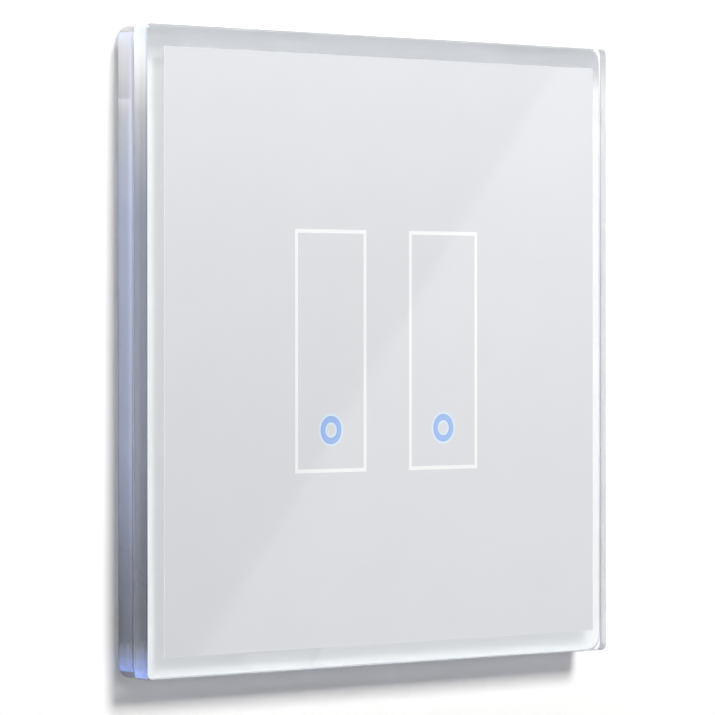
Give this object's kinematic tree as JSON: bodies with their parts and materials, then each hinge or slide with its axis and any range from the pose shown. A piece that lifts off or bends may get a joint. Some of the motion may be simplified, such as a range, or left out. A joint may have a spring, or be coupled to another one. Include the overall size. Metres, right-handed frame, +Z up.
{
  "type": "smart light switch",
  "caption": "Square glass touch light switch with lit key rings and a clear edge frame, on a plug-in relay module with screw terminals for a round wall box.",
  "frame": {"origin": "middle of the mounting frame's back, in the plane of the wall, midway between the box screws", "axes": "+X to the viewer's right, +Z up, +Y into the wall; the glass faces -Y"},
  "size_m": [0.094, 0.032, 0.094],
  "materials": {
    "black_epoxy": "moulded epoxy",
    "black_laminate": "black solder-masked laminate",
    "black_plastic": "fine-eroded black plastic",
    "black_sleeve": "shrunk sleeve",
    "blue_window": "translucent blue ink, lit from behind",
    "cage_steel": "yellow-passivated steel",
    "chip_ceramic": "fired ceramic with tinned ends",
    "clear_acrylic": "clear moulded acrylic with polished edges",
    "clear_adhesive": "clear optical adhesive",
    "clear_glass": "polished tempered glass",
    "contact_brass": "stamped brass",
    "copper_foil": "etched copper",
    "copper_winding": "enamelled copper winding",
    "ferrite": "sintered ferrite",
    "film_box": "potted plastic box",
    "green_laminate": "solder-masked glass laminate",
    "grey_plastic": "fine-eroded light grey plastic",
    "lamp_body": "lamp package with clear lens",
    "line_enamel": "glossy brighter white enamel",
    "plated_pin": "gold-plated square pin",
    "relay_case": "moulded relay case",
    "relay_iron": "nickelled soft iron",
    "screw_steel": "zinc-plated screw steel",
    "shield_tin": "tinned sheet",
    "spring_steel": "rolled spring steel",
    "tape_yellow": "yellow insulating tape",
    "terminal_plastic": "moulded polyamide",
    "varistor_coat": "blue epoxy coating",
    "white_enamel": "glossy white enamel print",
    "white_foam": "white closed-cell foam",
    "white_plastic": "fine-eroded white polycarbonate",
    "zinc_steel": "zinc-plated pressed steel"
  },
  "bodies": {
    "wall_module": {"mounting_frame": "zinc_steel", "frame_screws": "screw_steel", "module_cover": "grey_plastic", "rear_housing": "grey_plastic", "power_board": "green_laminate", "socket_strip": "black_plastic", "wireless_board": "black_laminate", "wireless_shield": "shield_tin", "relay_bases": "black_plastic", "relay_covers": "relay_case", "relay_yokes": "relay_iron", "relay_coils": "copper_winding", "relay_cores": "relay_iron", "fixed_contacts": "contact_brass", "transformer_core": "ferrite", "transformer_winding": "tape_yellow", "filter_capacitor": "black_sleeve", "supply_capacitor": "film_box", "fuse": "black_plastic", "varistor": "varistor_coat", "terminal_block": "terminal_plastic", "terminal_bars": "contact_brass"},
    "front_panel": {"glass_plate": "clear_glass", "white_print": "white_enamel", "key_outlines": "line_enamel", "ring_windows": "blue_window", "clear_frame": "clear_acrylic", "edge_bond": "clear_adhesive", "light_mask": "white_foam", "touch_electrodes": "copper_foil", "touch_board": "green_laminate", "ring_light_pipes": "clear_acrylic", "ring_leds": "lamp_body", "edge_leds": "lamp_body", "controller_chip": "black_epoxy", "board_passives": "chip_ceramic", "header_base": "black_plastic", "header_pins": "plated_pin", "panel_carrier": "white_plastic", "panel_clips": "spring_steel"},
    "relay_armature_1": {"relay_armature_1": "relay_iron"},
    "relay_armature_2": {"relay_armature_2": "relay_iron"},
    "terminal_screw_1": {"terminal_screw_1": "screw_steel"},
    "terminal_cage_1": {"terminal_cage_1": "cage_steel"},
    "terminal_screw_2": {"terminal_screw_2": "screw_steel"},
    "terminal_cage_2": {"terminal_cage_2": "cage_steel"},
    "terminal_screw_3": {"terminal_screw_3": "screw_steel"},
    "terminal_cage_3": {"terminal_cage_3": "cage_steel"},
    "terminal_screw_4": {"terminal_screw_4": "screw_steel"},
    "terminal_cage_4": {"terminal_cage_4": "cage_steel"}
  },
  "joints": [
    {"name": "panel_pull_off", "type": "slide", "parent": "wall_module", "child": "front_panel", "axis": [0, -1, 0], "range_m": [0, 0.02], "deforming": ["panel_clips"]},
    {"name": "relay_rock_1", "type": "hinge", "parent": "wall_module", "child": "relay_armature_1", "pos_m": [0.0026, 0.0201, 0.0008], "axis": [0, 0, -1], "range_deg": [0, 4], "stiffness_Nm_per_rad": 0.002},
    {"name": "relay_rock_2", "type": "hinge", "parent": "wall_module", "child": "relay_armature_2", "pos_m": [-0.0026, 0.0201, 0.0008], "axis": [0, 0, 1], "range_deg": [0, 4], "stiffness_Nm_per_rad": 0.002},
    {"name": "screw_turn_1", "type": "hinge", "parent": "wall_module", "child": "terminal_screw_1", "pos_m": [-0.0129, 0.0205, -0.0173], "axis": [0, 0, 1], "range_deg": [0, 2160]},
    {"name": "cage_rise_1", "type": "slide", "parent": "wall_module", "child": "terminal_cage_1", "axis": [0, 0, -1], "range_m": [0, 0.0036]},
    {"name": "screw_turn_2", "type": "hinge", "parent": "wall_module", "child": "terminal_screw_2", "pos_m": [-0.0043, 0.0205, -0.0173], "axis": [0, 0, 1], "range_deg": [0, 2160]},
    {"name": "cage_rise_2", "type": "slide", "parent": "wall_module", "child": "terminal_cage_2", "axis": [0, 0, -1], "range_m": [0, 0.0036]},
    {"name": "screw_turn_3", "type": "hinge", "parent": "wall_module", "child": "terminal_screw_3", "pos_m": [0.0043, 0.0205, -0.0173], "axis": [0, 0, 1], "range_deg": [0, 2160]},
    {"name": "cage_rise_3", "type": "slide", "parent": "wall_module", "child": "terminal_cage_3", "axis": [0, 0, -1], "range_m": [0, 0.0036]},
    {"name": "screw_turn_4", "type": "hinge", "parent": "wall_module", "child": "terminal_screw_4", "pos_m": [0.0129, 0.0205, -0.0173], "axis": [0, 0, 1], "range_deg": [0, 2160]},
    {"name": "cage_rise_4", "type": "slide", "parent": "wall_module", "child": "terminal_cage_4", "axis": [0, 0, -1], "range_m": [0, 0.0036]}
  ],
  "couplings": [
    {"joint": "screw_turn_1", "follows": "cage_rise_1", "rad_per_m": 10472},
    {"joint": "screw_turn_2", "follows": "cage_rise_2", "rad_per_m": 10472},
    {"joint": "screw_turn_3", "follows": "cage_rise_3", "rad_per_m": 10472},
    {"joint": "screw_turn_4", "follows": "cage_rise_4", "rad_per_m": 10472}
  ]
}
